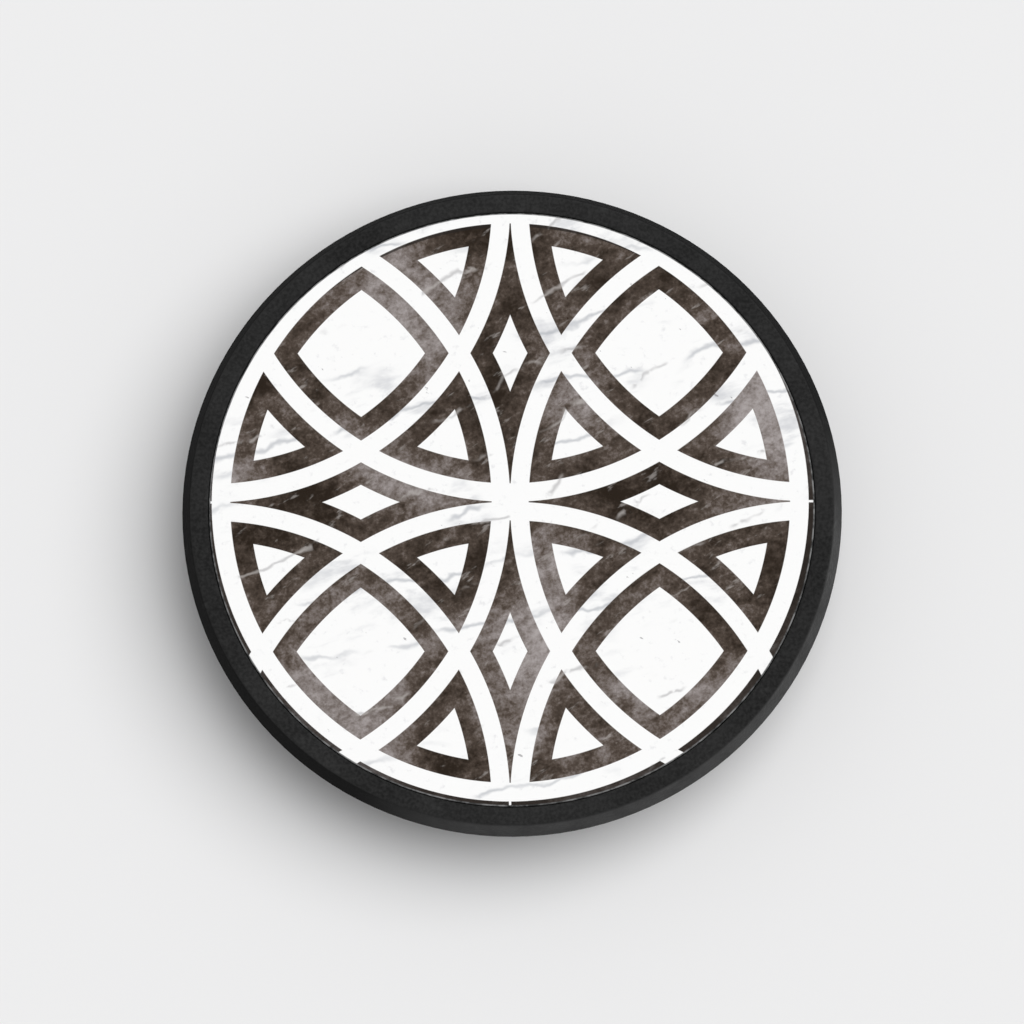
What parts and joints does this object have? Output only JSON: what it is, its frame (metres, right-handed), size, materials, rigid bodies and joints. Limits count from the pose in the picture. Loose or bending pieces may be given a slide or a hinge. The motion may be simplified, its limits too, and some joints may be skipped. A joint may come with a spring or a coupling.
{
  "type": "collapsible phone grip",
  "caption": "Round collapsible grip for a phone's back: a bevelled disc with a printed face over a folding accordion on an adhesive base.",
  "frame": {"origin": "centre of the adhesive face, on the phone's back", "axes": "+Z out of the phone, the way the grip pulls out; +Y the upper edge of the print"},
  "size_m": [0.0396, 0.0396, 0.0066],
  "materials": {
    "pad": "matt foam pad",
    "base": "fine satin mould grain",
    "accordion": "soft matt elastomer",
    "insert": "plain moulded",
    "top": "fine satin mould grain",
    "print": "glossy printed sheet, overlapping circles in white and dark brown stone"
  },
  "bodies": {
    "base": {"adhesive_pad": "pad", "base_plate": "base", "accordion": "accordion"},
    "hub": {"hub_insert": "insert"},
    "top": {"top_disc": "top", "print_disc": "print"}
  },
  "joints": [
    {"name": "pull_out", "type": "slide", "parent": "base", "child": "hub", "axis": [0, 0, 1], "range_m": [0, 0.018], "deforming": ["accordion"]},
    {"name": "top_turn", "type": "hinge", "parent": "hub", "child": "top", "pos_m": [0, 0, 0.0035], "axis": [0, 0, 1], "range_deg": [0, 90]}
  ]
}
